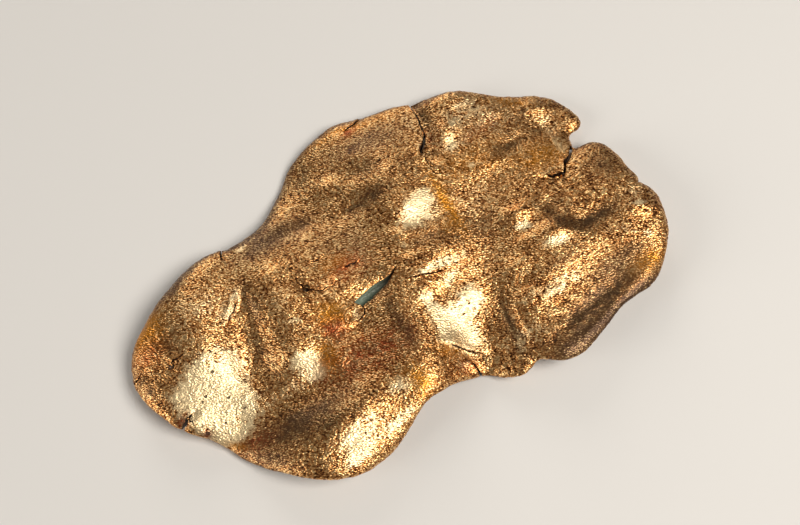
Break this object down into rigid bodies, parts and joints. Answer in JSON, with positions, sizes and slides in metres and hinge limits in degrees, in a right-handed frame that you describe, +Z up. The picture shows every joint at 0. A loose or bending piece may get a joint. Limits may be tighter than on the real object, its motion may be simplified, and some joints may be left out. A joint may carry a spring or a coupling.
{
  "type": "native copper specimen",
  "caption": "Flat, crumpled and wave-worn natural copper sheet with rounded rim, edge tears, a notch and a short blind slit, lying on small worn feet.",
  "frame": {"origin": "middle of the footprint, on the surface that the sheet lies on", "axes": "+X along the sheet's long side, towards the wide notched end; +Y across it; +Z up, out of the face that shows"},
  "size_m": [0.0924, 0.0586, 0.0074],
  "materials": {
    "native_copper": "natural copper, water-worn and granular, tan to bronze brown with red and golden tarnish, olive patina on the rim and green-grey verdigris in the slit"
  },
  "bodies": {
    "root": {"copper_sheet": "native_copper"}
  },
  "joints": []
}
